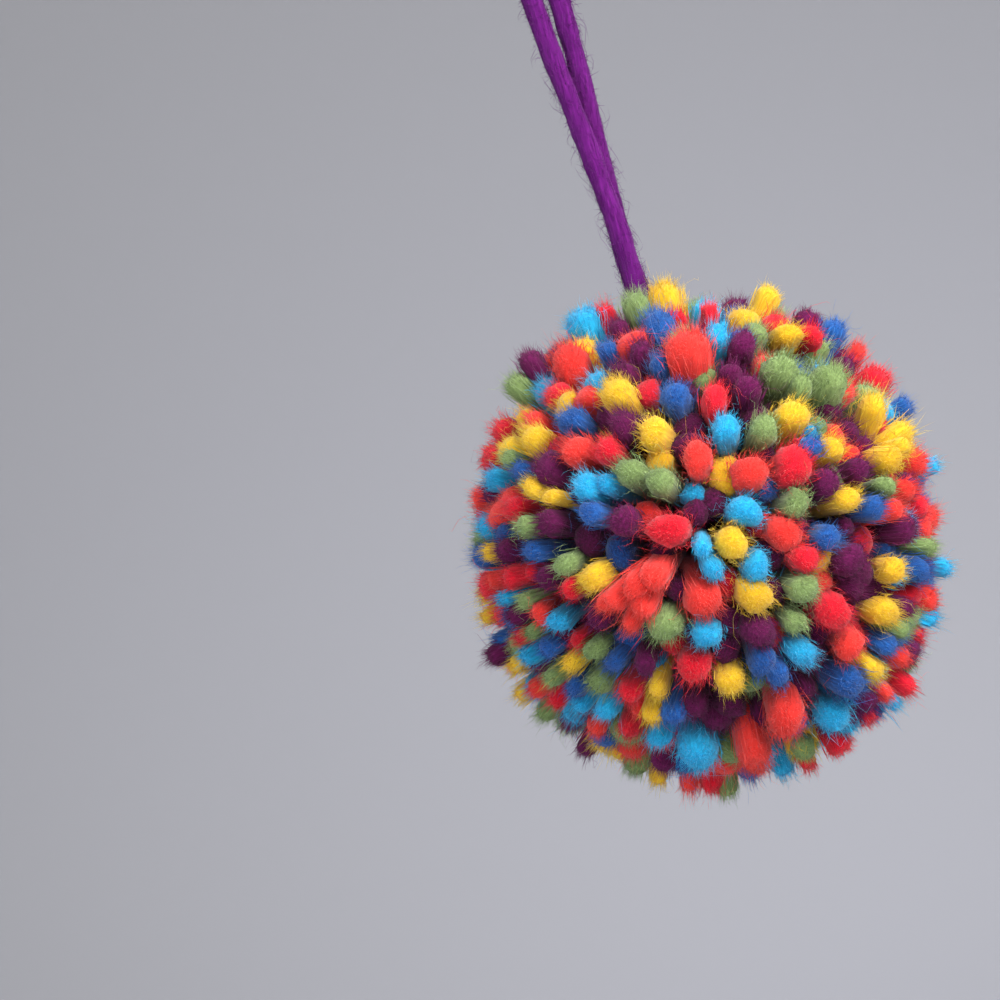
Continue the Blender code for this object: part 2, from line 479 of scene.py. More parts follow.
class WoolMesh:
    """Gathers little closed meshes of wool, and makes one piece of them."""

    def __init__(self) -> None:
        """Starts an empty mesh."""
        self.points: list[np.ndarray] = []
        self.triangles: list[np.ndarray] = []
        self.marks: list[np.ndarray] = []
        self.count = 0

    def add(self, points: np.ndarray, triangles: np.ndarray, marks: np.ndarray) -> None:
        """Adds one closed mesh.

        Args:
            points: Its points, n by 3.
            triangles: Its faces, m by 3.
            marks: What the material reads at each point, n by 5: along, which it turns into painted shade, fleck,
                which carries painted light besides each fibre's own tone, and the three of lay.
        """
        self.points.append(points)
        self.triangles.append(triangles + self.count)
        self.marks.append(marks)
        self.count += len(points)

    def fibres(self, stations: np.ndarray, marks: np.ndarray, radii: np.ndarray) -> None:
        """Adds thin fibres, each three-sided and drawn out to a point at both ends.

        Args:
            stations: The points that each fibre follows, f by s by 3.
            marks: What the material reads, f by s by 5.
            radii: Their radii between the two ends, f by s - 2.
        """
        amount, steps = stations.shape[:2]
        course = unit_rows(stations[:, 2:] - stations[:, :-2])
        aside = unit_rows(np.cross(course, SLANT))
        across = np.cross(course, aside)
        turn = np.arange(3) * (2.0 * math.pi / 3.0)
        ring = aside[:, :, None] * np.cos(turn)[:, None] + across[:, :, None] * np.sin(turn)[:, None]
        rings = stations[:, 1:-1, None] + ring * radii[:, :, None, None]
        inner = rings.reshape(amount, -1, 3)
        points = np.concatenate([stations[:, :1], inner, stations[:, -1:]], axis=1)
        ring_marks = np.repeat(marks[:, 1:-1], 3, axis=1)
        all_marks = np.concatenate([marks[:, :1], ring_marks, marks[:, -1:]], axis=1)
        last = 1 + 3 * (steps - 2)
        faces = []
        for side in range(3):
            after = (side + 1) % 3
            faces.append((0, 1 + after, 1 + side))
            faces.append((last, last - 3 + side, last - 3 + after))
            for step in range(steps - 3):
                low, high = 1 + 3 * step, 4 + 3 * step
                faces.append((low + side, low + after, high + after))
                faces.append((low + side, high + after, high + side))
        offsets = np.arange(amount)[:, None, None] * (last + 1)
        triangles = (np.array(faces)[None] + offsets).reshape(-1, 3)
        self.add(points.reshape(-1, 3), triangles, all_marks.reshape(-1, marks.shape[-1]))

    def hairs(self, ends: np.ndarray, marks: np.ndarray, radii: np.ndarray) -> None:
        """Adds short straight hairs, each three-sided at its root and drawn out to a point.

        Args:
            ends: The root and the point of each hair, f by 2 by 3.
            marks: What the material reads, f by 2 by 5.
            radii: Their radii at the root, f by 1.
        """
        amount = len(ends)
        course = unit_rows(ends[:, 1] - ends[:, 0])
        aside = unit_rows(np.cross(course, SLANT))
        across = np.cross(course, aside)
        turn = np.arange(3) * (2.0 * math.pi / 3.0)
        ring = aside[:, None] * np.cos(turn)[:, None] + across[:, None] * np.sin(turn)[:, None]
        points = np.concatenate([ends[:, :1] + ring * radii[:, :, None], ends[:, 1:]], axis=1)
        all_marks = np.concatenate([np.repeat(marks[:, :1], 3, axis=1), marks[:, 1:]], axis=1)
        faces = np.array([(0, 2, 1), (0, 1, 3), (1, 2, 3), (2, 0, 3)])
        triangles = (faces[None] + np.arange(amount)[:, None, None] * 4).reshape(-1, 3)
        self.add(points.reshape(-1, 3), triangles, all_marks.reshape(-1, marks.shape[-1]))

    def sleeve(self, rings: np.ndarray, marks: np.ndarray) -> None:
        """Adds a closed body through rings of points, whose ends are drawn to their middles.

        Args:
            rings: The rings in order along the body, r by k by 3.
            marks: What the material reads, r by k by 5.
        """
        levels, sides = rings.shape[:2]
        ends = rings[[0, -1]].mean(axis=1)
        end_marks = marks[[0, -1]].mean(axis=1)
        points = np.concatenate([rings.reshape(-1, 3), ends])
        all_marks = np.concatenate([marks.reshape(-1, marks.shape[-1]), end_marks])
        side = np.arange(sides)
        after = (side + 1) % sides
        faces = []
        for level in range(levels - 1):
            low, high = level * sides, (level + 1) * sides
            faces.append(np.stack([low + side, low + after, high + after], axis=1))
            faces.append(np.stack([low + side, high + after, high + side], axis=1))
        first, last = levels * sides, levels * sides + 1
        top = (levels - 1) * sides
        faces.append(np.stack([np.full(sides, first), after, side], axis=1))
        faces.append(np.stack([np.full(sides, last), top + side, top + after], axis=1))
        self.add(points, np.concatenate(faces), all_marks)

    def piece(self, name: str, yarn: Yarn, stands_for: Sequence[str] = ()) -> bpy.types.Object:
        """Makes the piece, which rides on the row's one body.

        Args:
            name: The piece's name.
            yarn: The yarn that it is made of.
            stands_for: The CAD nodes that it replaces.

        Returns:
            The new object.
        """
        mesh = bpy.data.meshes.new(name)
        mesh.from_pydata(np.concatenate(self.points), [], np.concatenate(self.triangles))
        marks = np.concatenate(self.marks).astype(np.float32)
        for column, attribute in enumerate(("along", "fleck")):
            layer = mesh.attributes.new(attribute, "FLOAT", "POINT")
            layer.data.foreach_set("value", np.ascontiguousarray(marks[:, column]))
        lay = mesh.attributes.new("lay", "FLOAT_VECTOR", "POINT")
        lay.data.foreach_set("vector", np.ascontiguousarray(marks[:, 2:5]).ravel())
        mesh.shade_smooth()
        mesh.materials.append(yarn.value.material(name + "_wool"))
        piece = bpy.data.objects.new(name, mesh)
        bpy.context.scene.collection.objects.link(piece)
        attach(piece, "root")
        if stands_for:
            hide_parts(*stands_for)
        log.info("%s: %d triangles", name, len(mesh.polygons))
        return piece




class End(NamedTuple):
    """A yarn end that shows in the photograph.

    Attributes:
        x_px: Where the middle of its soft end shows, from the frame's left.
        y_px: And from the frame's top.
        wide_mm: Its width.
        from_px: Where its body comes up between the others, if it leans over.
        rise_mm: How far it stands above the ball's surface, or below it where negative.
        splay: How far its fibres stray apart, if it is an open fan.
    """

    x_px: float
    y_px: float
    wide_mm: float
    from_px: tuple[float, float] | None = None
    rise_mm: float = 0.0
    splay: float = 0.0


SHOWN_ENDS: dict[Yarn, tuple[End, ...]] = {
    Yarn.RED: (
        End(605, 312, 4.3, rise_mm=-0.5), End(676, 318, 4.5, rise_mm=-1.5), End(710, 311, 4.0),
        End(716, 399, 6.3), End(810, 335, 5.2, (798, 368)), End(872, 384, 7.8, (845, 419), 1.2, 0.05),
        End(505, 430, 5.8), End(606, 450, 5.6), End(516, 508, 6.0), End(668, 530, 8.0, rise_mm=1.2),
        End(795, 467, 8.4, rise_mm=0.5), End(512, 577, 5.0), End(531, 573, 3.8, rise_mm=-1.0),
        End(571, 590, 4.2), End(806, 560, 6.0), End(835, 612, 8.0, (820, 596), 0.8), End(521, 637, 4.0),
        End(580, 641, 4.5, rise_mm=-2.0), End(693, 665, 7.4), End(630, 692, 5.2), End(629, 728, 4.8),
        End(556, 700, 4.0), End(915, 636, 5.0), End(906, 687, 4.8), End(867, 717, 4.3),
        End(836, 742, 5.8, (822, 722)), End(712, 781, 6.0), End(807, 763, 4.2),
    ),
    Yarn.CORAL: (
        End(571, 362, 9.0, (583, 402), 1.5, 0.04), End(688, 350, 8.6, (697, 394), 1.6, 0.04), End(857, 351, 4.0),
        End(533, 422, 4.8, rise_mm=-1.5), End(575, 451, 6.5), End(697, 458, 7.0), End(750, 474, 7.8),
        End(481, 497, 4.4), End(913, 463, 6.6, (884, 474), 0.6, 0.16), End(907, 490, 5.0), End(895, 508, 4.4),
        End(926, 518, 6.0), End(784, 534, 7.6), End(653, 577, 6.0, (668, 550), 1.4, 0.05),
        End(635, 588, 5.6, (665, 550), 1.6, 0.09), End(614, 600, 4.8, (660, 553), 1.4, 0.12),
        End(603, 606, 3.6, (655, 558), 0.8, 0.14), End(642, 606, 5.2, (664, 557), 1.0, 0.10),
        End(631, 624, 4.4, (660, 564), 0.6, 0.13), End(494, 581, 4.0),
        End(703, 600, 7.6, (688, 568)), End(501, 617, 4.2), End(542, 615, 5.0, (560, 600)),
        End(925, 600, 5.6, (900, 596)), End(848, 646, 6.6, (838, 622)), End(537, 688, 4.5),
        End(598, 728, 4.6), End(641, 709, 4.4, rise_mm=-2.0), End(900, 658, 5.0), End(885, 693, 4.4),
        End(786, 717, 8.6, (781, 684), 2.0), End(755, 749, 7.8, (745, 704), 1.6), End(690, 784, 4.6),
    ),
    Yarn.YELLOW: (
        End(664, 299, 7.6, rise_mm=2.7), End(766, 299, 5.4, (748, 326)), End(788, 336, 6.4, (775, 356)),
        End(618, 394, 7.2), End(536, 438, 6.6), End(653, 432, 6.5, (676, 448)), End(793, 415, 7.0),
        End(873, 408, 6.2, (856, 456), 1.2, 0.16), End(901, 432, 5.4, (856, 458), 1.4, 0.22),
        End(903, 447, 4.6, (858, 459), 1.2, 0.22), End(889, 460, 6.2, (852, 456), 1.6, 0.14), End(833, 448, 5.2),
        End(532, 487, 4.5), End(551, 498, 4.2, rise_mm=-1.0), End(847, 500, 5.8, (828, 510)),
        End(490, 553, 4.0), End(733, 543, 7.0), End(594, 578, 6.6, (620, 564)), End(487, 595, 4.0),
        End(488, 617, 4.0), End(893, 570, 5.8, (866, 574)), End(885, 612, 6.8, (858, 602)),
        End(756, 595, 7.8), End(518, 666, 4.6), End(573, 663, 5.0), End(731, 681, 6.2, (720, 660)),
        End(872, 670, 5.4), End(523, 693, 4.4), End(653, 716, 4.4), End(657, 690, 4.4, rise_mm=-1.0),
        End(603, 741, 5.4), End(658, 777, 4.2),
    ),
    Yarn.GREEN: (
        End(636, 304, 5.8, rise_mm=2.6), End(776, 317, 4.6, rise_mm=-0.5), End(780, 370, 7.4, (768, 402), 1.0, 0.05),
        End(829, 382, 8.0, (821, 424), 1.4, 0.05), End(801, 385, 5.2), End(763, 430, 6.2),
        End(520, 386, 6.2, rise_mm=-1.5), End(510, 458, 4.2), End(630, 472, 6.2), End(660, 481, 6.2),
        End(885, 486, 4.8, (862, 492)), End(796, 504, 6.0), End(526, 527, 4.8), End(566, 564, 5.4, (582, 552)),
        End(928, 548, 4.4), End(526, 600, 4.4), End(803, 588, 6.4), End(795, 622, 5.2, rise_mm=-1.0),
        End(665, 627, 7.2), End(595, 650, 5.2, (612, 634)), End(533, 632, 3.8, rise_mm=-1.0),
        End(553, 678, 4.4), End(600, 681, 5.4), End(903, 631, 3.8), End(545, 713, 4.4),
        End(803, 747, 6.0, (799, 728)), End(636, 763, 5.6), End(728, 790, 4.0),
    ),
    Yarn.TURQUOISE: (
        End(588, 328, 8.6, (600, 352), 1.0, 0.05), End(718, 335, 5.4, (717, 372)), End(726, 429, 6.2, (727, 452)),
        End(496, 480, 5.0), End(586, 486, 5.8), End(607, 484, 4.8, rise_mm=-1.5), End(745, 511, 7.0),
        End(488, 526, 5.2), End(713, 570, 4.4, (701, 540)), End(702, 548, 3.8, (697, 528), 0.3), End(757, 567, 6.0), End(931, 466, 4.0),
        End(943, 568, 4.2), End(507, 598, 4.2), End(559, 622, 5.0, (580, 605)), End(705, 635, 6.0),
        End(803, 652, 6.2), End(530, 655, 4.6), End(833, 716, 8.0, (822, 690), 1.2, 0.08), End(580, 705, 4.2),
        End(607, 710, 5.2), End(699, 750, 8.8, (703, 714), 2.0, 0.04), End(657, 738, 4.8), End(783, 766, 5.2),
        End(932, 618, 3.8), End(893, 703, 3.8),
    ),
    Yarn.BLUE: (
        End(657, 326, 7.4), End(606, 350, 4.6, rise_mm=-2.0), End(659, 364, 4.6, rise_mm=-2.5),
        End(676, 397, 6.4, (684, 425)), End(571, 420, 5.6), End(833, 332, 5.6, (816, 366)),
        End(902, 408, 4.8), End(812, 446, 4.8), End(874, 508, 5.0), End(520, 470, 4.2, rise_mm=-1.5),
        End(590, 513, 5.2), End(828, 538, 5.8), End(533, 551, 4.6), End(920, 570, 5.8), End(501, 641, 4.4),
        End(549, 647, 4.8), End(614, 663, 4.6, (640, 632)), End(577, 687, 5.0), End(762, 662, 6.0),
        End(779, 675, 4.8), End(848, 682, 7.4, (813, 667), 1.0, 0.08), End(675, 714, 5.6), End(888, 647, 4.2),
        End(750, 772, 4.6, rise_mm=-1.0),
    ),
    Yarn.AUBERGINE: (
        End(531, 362, 5.4, (552, 398)), End(618, 328, 4.6, rise_mm=-1.0), End(640, 352, 5.6, rise_mm=-2.0),
        End(622, 374, 6.0, rise_mm=-1.5), End(743, 345, 6.2, (738, 370)), End(748, 388, 5.4),
        End(732, 372, 4.8, rise_mm=-1.5), End(845, 365, 4.8), End(622, 424, 6.6), End(550, 467, 6.8),
        End(828, 482, 5.8), End(858, 470, 5.4), End(550, 524, 5.8), End(624, 521, 6.4), End(904, 528, 6.0),
        End(850, 560, 7.0, rise_mm=-1.0), End(852, 588, 6.0, rise_mm=-2.5), End(506, 552, 5.2),
        End(548, 578, 5.2, rise_mm=-0.5), End(515, 617, 4.2), End(600, 617, 6.0, (618, 603)),
        End(646, 662, 5.4, (650, 642)), End(496, 655, 4.8), End(758, 633, 7.4),
        End(907, 608, 4.0, rise_mm=-0.5), End(867, 703, 4.6), End(695, 705, 6.0, rise_mm=-1.5),
        End(570, 722, 4.6), End(586, 748, 4.4), End(664, 762, 5.0), End(540, 664, 4.2, rise_mm=-1.5),
    ),
}


@dataclass
class Tuft:
    """One cut end of yarn, which swells from its root to a soft domed end.

    Attributes:
        root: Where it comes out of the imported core.
        bend: The point that its middle line bends towards.
        tip: The top of its domed end.
        half_width: Half its width at the end.
        squash: Its width one way over its width the other way.
        splay: How far its fibres stray apart.
    """

    root: np.ndarray
    bend: np.ndarray
    tip: np.ndarray
    half_width: float
    squash: float
    splay: float
    draw: np.random.Generator

    def __post_init__(self) -> None:
        """Works out the tuft's length, its own tint and its lobes."""
        self.length = float(np.linalg.norm(self.tip - self.bend) + np.linalg.norm(self.bend - self.root))
        self.turn = self.draw.uniform(0.0, math.pi)
        self.lobe_turns = self.draw.uniform(0.0, 2.0 * math.pi, 4)
        self.twist = self.draw.normal(0.0, 0.5)
        self.fleck = self.draw.normal(0.0, 0.20)
        self.own = self.draw.uniform(0.0, 40.0, 3)
        self.middle = np.array(BALL.middle)
        reach = Vector(self.tip - self.middle)
        self.surface = BALL.radius(reach.normalized())

    def place(self, share: np.ndarray, angle: np.ndarray, out: np.ndarray) -> np.ndarray:
        """Points of the bundle.

        Args:
            share: How far along it they are, from 0 at the root to 1 at the tip.
            angle: Their angle about its middle line.
            out: How far out they are, from 0 in the middle to 1 at its outline.

        Returns:
            The points.
        """
        t = share[..., None]
        line = (1 - t) ** 2 * self.root + 2 * t * (1 - t) * self.bend + t**2 * self.tip
        course = unit_rows((1 - t) * (self.bend - self.root) + t * (self.tip - self.bend))
        aside = unit_rows(np.cross(course, SLANT))
        across = np.cross(course, aside)
        turned = angle + self.turn + self.twist * share
        first, second, third, fourth = self.lobe_turns
        lobes = 1.0 + 0.07 * np.cos(2 * angle + first) + 0.05 * np.cos(3 * angle + second)
        lobes = lobes + 0.04 * np.cos(5 * angle + third) + 0.02 * np.cos(8 * angle + fourth)
        swell = 0.52 + 0.48 * smooth_step(0.0, 0.85, share)
        wide = (self.half_width * swell * out * lobes)[..., None]
        stretch = math.sqrt(self.squash)
        spoke = aside * np.cos(turned)[..., None] * stretch + across * np.sin(turned)[..., None] / stretch
        return line + spoke * wide

    def dome_start(self) -> float:
        """Where along the tuft its end begins to round off."""
        return 1.0 - 0.68 * self.half_width / self.length

    def end_at(self, out: np.ndarray) -> np.ndarray:
        """How far along the tuft its domed end is, for points that far out."""
        start = self.dome_start()
        return start + (1.0 - start) * np.sqrt(np.clip(1.0 - out**2, 0.0, 1.0))

    def strands_of(
        self, share: np.ndarray, angle: np.ndarray, out: np.ndarray, fleck: "np.ndarray | float"
    ) -> tuple[np.ndarray, np.ndarray]:
        """Points of the bundle with what the material reads there, as along, fleck and lay.

        Args:
            share: How far along it they are.
            angle: Their angle about its middle line.
            out: How far out they are.
            fleck: How pale each fibre is, from its own tone and from painted light.

        Returns:
            The points, and a row of five for each of them.
        """
        share, angle, out = np.broadcast_arrays(share, angle, out)
        points = self.place(share, angle, out)
        # Painted shade: along is how high each point stands between the core and the ball's surface, and the
        # material paints the lower points darker.
        high = np.linalg.norm(points - self.middle, axis=-1) / self.surface
        along = np.clip((high - CORE_SHARE) / (1.0 - CORE_SHARE), 0.0, 1.0)
        grain = self.half_width * out * FIBRE_GRAIN
        marks = np.stack([
            along,
            np.broadcast_to(fleck + self.fleck, share.shape),
            grain * np.cos(angle) + self.own[0],
            grain * np.sin(angle) + self.own[1],
            share * self.length * FIBRE_RUN + self.own[2],
        ], axis=-1)
        return points, marks


@dataclass(frozen=True)
class TuftMaker:
    """How a tuft's body and fibres are made.

    Attributes:
        sides: The body's sides.
        fill: The body's width over the bundle's, so that the hairs cover it.
        drop: How far below the bundle's top the body ends.
        side_levels: Where the body's lower rings are, over the way to its dome.
        dome_levels: How far out the dome's rings are.
        pile_hairs: Short straight hairs all over the end and the upper sides, on a usual tuft.
        fuzz_hairs: Finer bent hairs that stray out of the pile.
        laid_fibres: Long fibres along the outside of the bundle.
        stray_hairs: Long thin hairs that cross to its neighbours.
        usual_width: The width that these numbers are for.
    """

    sides: int = 12
    fill: float = 0.75
    drop: float = 0.9 * MM
    side_levels: tuple[float, ...] = (0.0, 0.40, 0.74, 0.95)
    dome_levels: tuple[float, ...] = (0.92, 0.68, 0.35)
    pile_hairs: int = 286
    fuzz_hairs: int = 50
    laid_fibres: int = 16
    stray_hairs: int = 3
    usual_width: float = 6.0 * MM

    def body(self, mesh: WoolMesh, tuft: Tuft) -> None:
        """Adds the tuft's soft body."""
        start = tuft.dome_start()
        shares = [level * start for level in self.side_levels]
        shares += [start + (1.0 - start) * math.sqrt(1.0 - out**2) for out in self.dome_levels]
        outs = [1.0] * len(self.side_levels) + list(self.dome_levels)
        turns = np.arange(self.sides) * (2.0 * math.pi / self.sides)
        share = np.repeat(np.array(shares)[:, None], self.sides, axis=1)
        out = np.repeat(np.array(outs)[:, None], self.sides, axis=1) * self.fill
        out = out * (1.0 + tuft.draw.normal(0.0, 0.035, share.shape))
        share = share - self.drop / tuft.length * (share > start)
        # Painted shade: the body under the hairs is given a fleck of -0.9, so it is painted darker than the hairs
        # over it.
        mesh.sleeve(*tuft.strands_of(share, turns[None], out, -0.9))

    def pile(self, mesh: WoolMesh, tuft: Tuft, amount: int) -> None:
        """Adds the short straight hairs that cover the dome and the upper sides."""
        draw = tuft.draw
        angle = draw.uniform(0.0, 2.0 * math.pi, (amount, 1))
        level = np.sqrt(draw.uniform(0.0, 1.0, amount))
        side = draw.uniform(0.0, 1.0, amount) < 0.40
        level = np.where(side, 1.0, level)
        share = np.where(side, draw.uniform(0.48, 1.0, amount) * tuft.dome_start(), tuft.end_at(level))
        share = share - (self.drop + 0.3 * MM) / tuft.length
        reach = draw.gamma(6.0, 0.25 * MM, amount) / tuft.length
        share = share[:, None] + reach[:, None] * np.array([0.0, 1.0])
        lean = draw.normal(0.18, 0.12 + tuft.splay, amount) * (0.35 + 0.65 * level)
        out = level[:, None] * (self.fill - 0.04) + lean[:, None] * np.array([0.0, 1.0])
        angle = angle + draw.normal(0.0, 0.20, (amount, 2)) * np.array([0.0, 1.0])
        radii = draw.uniform(0.034, 0.074, (amount, 1)) * MM
        # Painted light: besides its own random tone, each hair is painted darker at its root and paler at its point.
        fleck = draw.normal(0.0, 0.45, (amount, 1)) + np.array([-0.30, 0.35])
        mesh.hairs(*tuft.strands_of(share, angle, np.maximum(out, 0.0), fleck), radii)

    def fuzz(self, mesh: WoolMesh, tuft: Tuft, amount: int) -> None:
        """Adds the finer bent hairs that stray out of the pile."""
        draw = tuft.draw
        angle = draw.uniform(0.0, 2.0 * math.pi, (amount, 1))
        level = draw.uniform(0.0, 1.0, amount) ** 0.35
        side = draw.uniform(0.0, 1.0, amount) < 0.45
        level = np.where(side, 1.0, level)
        share = np.where(side, draw.uniform(0.50, 1.0, amount) * tuft.dome_start(), tuft.end_at(level))
        reach = draw.gamma(3.0, 0.50 * MM, amount) / tuft.length
        share = share[:, None] - 0.03 + reach[:, None] * np.array([0.0, 0.62, 1.0])
        flare = draw.normal(0.29, 0.19, amount)[:, None] * np.array([0.0, 0.48, 1.0])
        out = np.maximum(level[:, None] * (self.fill - 0.02) + flare + tuft.splay * 0.4, 0.0)
        angle = angle + draw.normal(0.0, 0.17, (amount, 3)) * np.array([0.0, 0.6, 1.4])
        radii = draw.uniform(0.017, 0.032, (amount, 1)) * MM
        # Painted highlight: the fuzz is painted paler than the wool, with its own random tone on top.
        fleck = draw.normal(0.45, 0.40, (amount, 1))
        mesh.fibres(*tuft.strands_of(share, angle, out, fleck), radii)

    def fibres(self, mesh: WoolMesh, tuft: Tuft, amount: int) -> None:
        """Adds the fibres that lie along the outside and end a little past the dome's edge."""
        draw = tuft.draw
        angle = draw.uniform(0.0, 2.0 * math.pi, (amount, 1))
        out = draw.uniform(0.86, 1.02, (amount, 1))
        start = draw.uniform(0.35, 0.62, amount)
        end = tuft.dome_start() + draw.normal(0.04, 0.03 + 0.35 * tuft.splay, amount)
        share = start[:, None] + (end - start)[:, None] * np.array([0.0, 0.40, 0.80, 1.0])
        angle = angle + draw.normal(0.0, 0.08 + tuft.splay, (amount, 4)) * np.array([0.3, 0.6, 1.0, 1.6])
        out = out * (1.0 + draw.normal(0.0, 0.04 + tuft.splay, (amount, 4)) * np.array([0.3, 0.6, 1.0, 1.5]))
        out = out * np.array([0.74, 0.82, 0.96, 1.04])
        radii = draw.uniform(0.055, 0.110, (amount, 1)) * MM * np.array([1.0, 0.8])
        fleck = draw.normal(0.0, 0.42, (amount, 1))
        mesh.fibres(*tuft.strands_of(share, angle, out, fleck), radii)

    def strays(self, mesh: WoolMesh, tuft: Tuft, amount: int) -> None:
        """Adds the long hairs that have worked loose and lie across the gaps."""
        draw = tuft.draw
        angle = draw.uniform(0.0, 2.0 * math.pi, (amount, 1))
        angle = angle + np.cumsum(draw.normal(0.0, 0.28, (amount, 6)), axis=1)
        start = draw.uniform(0.66, 0.94, (amount, 1))
        share = start + np.cumsum(draw.normal(0.014, 0.022, (amount, 6)), axis=1)
        out = 0.80 + draw.uniform(0.5, 1.3, (amount, 1)) * np.array([0.0, 0.22, 0.45, 0.68, 0.88, 1.0])
        radii = draw.uniform(0.020, 0.034, (amount, 1)) * MM * np.array([1.0, 1.0, 0.9, 0.8])
        # Painted highlight: the stray hairs are painted paler than the wool.
        mesh.fibres(*tuft.strands_of(share, angle, out, 0.6), radii)

    def add(self, mesh: WoolMesh, tuft: Tuft, thin: float = 1.0) -> None:
        """Adds a whole tuft to a mesh.

        Args:
            mesh: The mesh of its yarn.
            tuft: The tuft.
            thin: How many of its hairs are made, below 1 where it lies deep between others.
        """
        more = (2.0 * tuft.half_width / self.usual_width) ** 1.5 * thin
        self.body(mesh, tuft)
        self.pile(mesh, tuft, round(self.pile_hairs * more))
        self.fuzz(mesh, tuft, round(self.fuzz_hairs * more))
        self.fibres(mesh, tuft, round(self.laid_fibres * more))
        self.strays(mesh, tuft, self.stray_hairs)


@dataclass
class PomPom:
    """The ball of cut yarn ends.

    Attributes:
        ends: How many yarn ends it has.
        root_share: Where a tuft comes out of the core, over the ball's radius.
        bend_share: Where a tuft that stands straight has its bend.
        usual_width: The usual width of a tuft's end.
        back_width: Its usual width at the back, where the tufts stand further apart.
        rounds: How often the ends push each other apart.
        clump: How far neighbouring ends stray together.
        gap_drop: How deep the ends lie that fill the gaps between those that show, and face the camera.
        rim_share: How much of that depth is left at the ball's outline.
        loft: How much wider a tuft's soft outline is than its dense part.
        rim_facing: How far a direction faces the camera where the depth stops and starts to change.
    """

    ends: int = 505
    root_share: float = 0.54
    bend_share: float = 0.80
    usual_width: float = 7.4 * MM
    back_width: float = 8.5 * MM
    rounds: int = 30
    clump: float = 2.0 * MM
    clump_scale: float = 4.2
    own_lean: float = 0.8 * MM
    gap_drop: float = 5.0 * MM
    rim_share: float = 0.2
    loft: float = 1.14
    rim_facing: tuple[float, float] = (math.cos(math.radians(76.0)), math.cos(math.radians(48.0)))
    maker: TuftMaker = field(default_factory=TuftMaker)
    draw: np.random.Generator = field(default_factory=lambda: np.random.default_rng(SEED))

    def shown_tuft(self, end: End) -> Tuft:
        """Makes a tuft that shows in the photograph.

        Args:
            end: Its place there.

        Returns:
            The tuft.
        """
        half_width = end.wide_mm * MM / 2 * self.loft
        radius = BALL.half_width
        for _ in range(3):
            middle = VIEW.near_point(end.x_px, end.y_px, radius)
            radius = BALL.radius(middle.normalized()) + end.rise_mm * MM - 0.9 * half_width
        if end.from_px is None:
            bend = middle.normalized() * middle.length * self.bend_share
        else:
            bend = VIEW.near_point(*end.from_px, radius * self.bend_share)
        course = (middle - bend).normalized()
        root = bend.normalized() * BALL.radius(bend.normalized()) * self.root_share
        tip = middle + course * half_width * 0.9
        tuft = self.tuft(root, bend, tip, half_width)
        tuft.splay = max(tuft.splay, end.splay)
        return tuft

    def tuft(self, root: Vector, bend: Vector, tip: Vector, half_width: float) -> Tuft:
        """Makes a tuft from its places about the ball's middle.

        Args:
            root: Where it comes out of the core.
            bend: What its middle line bends towards.
            tip: The top of its end.
            half_width: Half its width.

        Returns:
            The tuft.
        """
        middle = np.array(BALL.middle)
        lean = self.draw.normal(0.0, self.own_lean, (2, 3))
        return Tuft(
            root=middle + np.array(root) + lean[0],
            bend=middle + np.array(bend) + lean[1] * 0.6,
            tip=middle + np.array(tip),
            half_width=half_width,
            squash=float(self.draw.uniform(0.80, 1.25)),
            splay=float(self.draw.choice([0.0, 0.03, 0.09], p=[0.55, 0.30, 0.15])),
            draw=self.draw,
        )

    def other_directions(self, shown: np.ndarray) -> np.ndarray:
        """Spreads the other yarn ends over what the shown ones leave free.

        Args:
            shown: The directions of the ends that show.

        Returns:
            A unit direction for each of the others.
        """
        tops = [Vector((0.2, y, -64.0)) * MM for y in (-2.2, 2.2)]
        fixed = np.concatenate([shown, [(top - BALL.middle).normalized() for top in tops]])
        loose = unit_rows(self.draw.normal(size=(self.ends - len(shown), 3)))
        reach = 1.45 * math.sqrt(4.0 * math.pi / self.ends)
        for _ in range(self.rounds):
            everything = np.concatenate([fixed, loose])
            apart = loose[:, None] - everything[None]
            distance = np.linalg.norm(apart, axis=2)
            push = np.clip(1.0 - distance / reach, 0.0, 1.0) * (distance > 1e-9)
            away = apart / np.maximum(distance, 1e-9)[..., None]
            loose = unit_rows(loose + (away * push[..., None]).sum(axis=1) * reach * 0.22)
        return loose

    def other_tuft(self, end: np.ndarray, drop: float, wide: float) -> Tuft:
        """Makes a tuft that the photograph doesn't tell apart.

        Args:
            end: The direction of its end.
            drop: How deep it lies in a gap between those that show, or 0 if it doesn't.
            wide: How wide such a tuft usually is.

        Returns:
            The tuft.
        """
        direction = Vector(end)
        sway = Vector([noise.noise(direction * self.clump_scale + Vector(start)) for start in np.eye(3) * 7.3])
        direction = (direction + sway * self.clump / BALL.half_width).normalized()
        short = -drop if drop > 0.0 else -abs(self.draw.normal(0.0, 1.5 * MM)) + 0.8 * MM
        radius = BALL.radius(direction) + short
        lean = Vector(self.draw.normal(0.0, self.own_lean, 3)) * 1.5
        bend = direction * radius * self.bend_share + lean
        root = bend.normalized() * radius * self.root_share
        width = wide * float(np.clip(self.draw.normal(1.0, 0.14), 0.70, 1.35))
        return self.tuft(root, bend, direction * radius, width / 2)

    def yarn_beside(self, end: np.ndarray, near: float, known: list[tuple[np.ndarray, Yarn]]) -> Yarn:
        """Draws a yarn for an end, seldom one that lies beside it.

        Args:
            end: The direction of the end.
            near: How near another end is beside it.
            known: The directions and yarns of the ends so far.

        Returns:
            The yarn.
        """
        distance = np.linalg.norm(np.array([place for place, _ in known]) - end, axis=1)
        beside = [known[i][1] for i in np.nonzero(distance < near)[0]]
        weights = np.array([yarn.value.share * 0.25 ** beside.count(yarn) for yarn in BALL_YARNS])
        return BALL_YARNS[self.draw.choice(len(BALL_YARNS), p=weights / weights.sum())]

